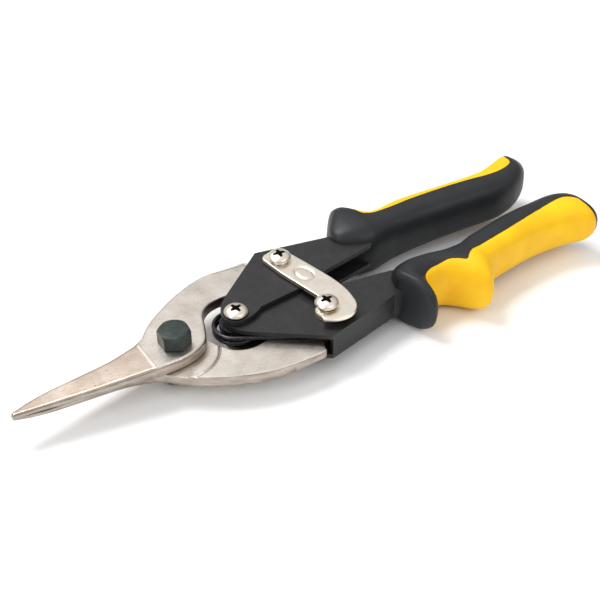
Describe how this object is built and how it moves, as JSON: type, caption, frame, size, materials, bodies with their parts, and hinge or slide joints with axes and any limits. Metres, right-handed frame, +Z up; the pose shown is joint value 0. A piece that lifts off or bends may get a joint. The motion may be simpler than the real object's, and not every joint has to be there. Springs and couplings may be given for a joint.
{
  "type": "aviation snips",
  "caption": "Straight-cut compound-leverage sheet-metal snips with a hooked latch, a torsion spring and two-colour moulded grips, lying flat and latched shut.",
  "frame": {"origin": "on the floor, at the centre of the main pivot bolt's end face", "axes": "+X along the tool from the jaws to the grips, +Y towards the far handle, +Z up and along every pivot"},
  "size_m": [0.2493, 0.074, 0.025],
  "materials": {
    "blade_steel": "satin ground steel",
    "nickel": "warm nickel plate",
    "black_oxide": "satin black oxide",
    "black_paint": "satin black coating",
    "spring_steel": "dark oiled steel",
    "black_grip": "matte",
    "yellow_grip": "matte"
  },
  "bodies": {
    "near_handle": {"near_handle_channel": "black_paint", "near_grip_body": "black_grip", "near_grip_pad": "yellow_grip", "handle_pivot_screw": "nickel", "handle_pivot_bushing": "spring_steel", "handle_pivot_nut": "nickel", "torsion_spring": "spring_steel", "near_link_screw": "nickel", "latch_catch_collar": "nickel", "near_blade_spacer": "nickel", "near_link_nut": "nickel"},
    "far_handle": {"far_handle_channel": "black_paint", "far_grip_body": "black_grip", "far_grip_pad": "yellow_grip", "far_link_screw": "nickel", "latch_washer": "nickel", "far_blade_spacer": "nickel", "far_link_nut": "nickel"},
    "upper_blade": {"upper_blade": "blade_steel", "pivot_bolt": "black_oxide", "pivot_lock_washer": "nickel", "pivot_nut": "black_oxide"},
    "lower_blade": {"lower_blade": "blade_steel"},
    "latch": {"latch_plate": "nickel"}
  },
  "joints": [
    {"name": "handle_pivot", "type": "hinge", "parent": "near_handle", "child": "far_handle", "pos_m": [0.026, 0, 0.0125], "axis": [0, 0, 1], "range_deg": [0, 44], "deforming": ["torsion_spring"]},
    {"name": "upper_blade_link", "type": "hinge", "parent": "far_handle", "child": "upper_blade", "pos_m": [0.0555, 0.017, 0.0125], "axis": [0, 0, 1], "range_deg": [-11.4, 0]},
    {"name": "lower_blade_link", "type": "hinge", "parent": "near_handle", "child": "lower_blade", "pos_m": [0.0555, -0.017, 0.0125], "axis": [0, 0, 1], "range_deg": [0, 11.4]},
    {"name": "latch_swing", "type": "hinge", "parent": "far_handle", "child": "latch", "pos_m": [0.0555, 0.017, 0.0125], "axis": [0, 0, 1], "range_deg": [0, 26.4]}
  ],
  "couplings": [
    {"joint": "upper_blade_link", "follows": "handle_pivot", "ratio": -0.2569},
    {"joint": "lower_blade_link", "follows": "handle_pivot", "ratio": 0.2569},
    {"joint": "latch_swing", "follows": "handle_pivot", "ratio": 0.6}
  ]
}
